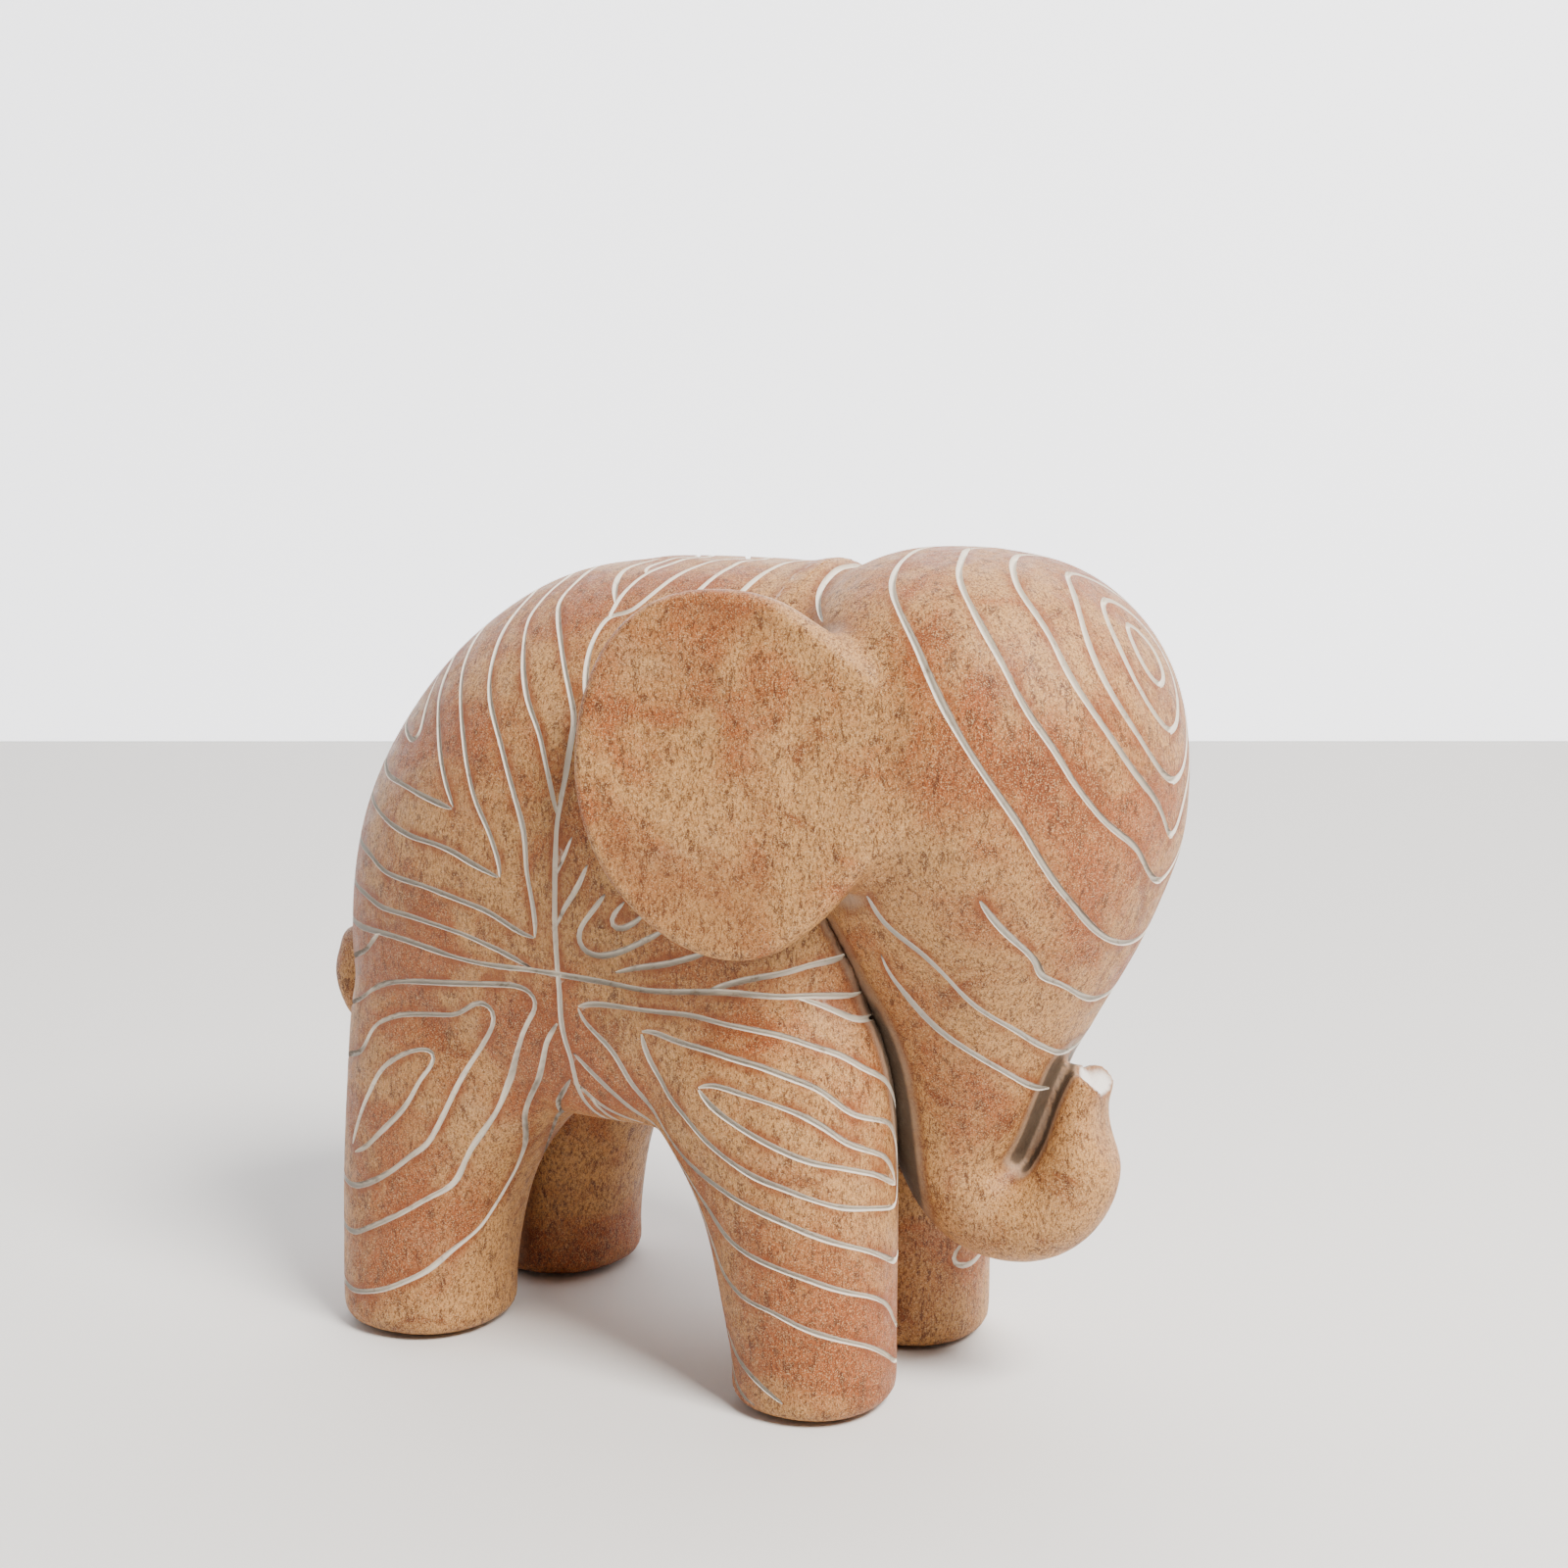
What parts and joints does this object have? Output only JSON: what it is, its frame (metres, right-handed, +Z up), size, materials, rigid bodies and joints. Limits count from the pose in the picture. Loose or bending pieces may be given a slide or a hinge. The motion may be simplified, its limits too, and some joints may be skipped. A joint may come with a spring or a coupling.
{
  "type": "elephant figurine",
  "caption": "Standing elephant figurine with a bowed head, a trunk curled up at its tip, broad ears and a short tail; carved wood with pale incised contour lines.",
  "frame": {"origin": "centre of the overall box in plan, on the floor under the felt pads", "axes": "+X towards the head and trunk, +Y to the animal's left, +Z up"},
  "size_m": [0.234, 0.1218, 0.1969],
  "materials": {
    "carved_wood": "satin, mottled tan and russet brown stain, with white lime paint in the carved lines",
    "dowel_wood": "plain sanded",
    "felt": "matt felt"
  },
  "bodies": {
    "root": {"body": "carved_wood", "head": "carved_wood", "ear_left": "carved_wood", "ear_right": "carved_wood", "tail": "carved_wood", "neck_dowel_left": "dowel_wood", "neck_dowel_right": "dowel_wood", "ear_dowel_left_upper": "dowel_wood", "ear_dowel_left_lower": "dowel_wood", "ear_dowel_right_upper": "dowel_wood", "ear_dowel_right_lower": "dowel_wood", "tail_peg": "dowel_wood", "foot_pad_fore_left": "felt", "foot_pad_fore_right": "felt", "foot_pad_hind_left": "felt", "foot_pad_hind_right": "felt"}
  },
  "joints": []
}
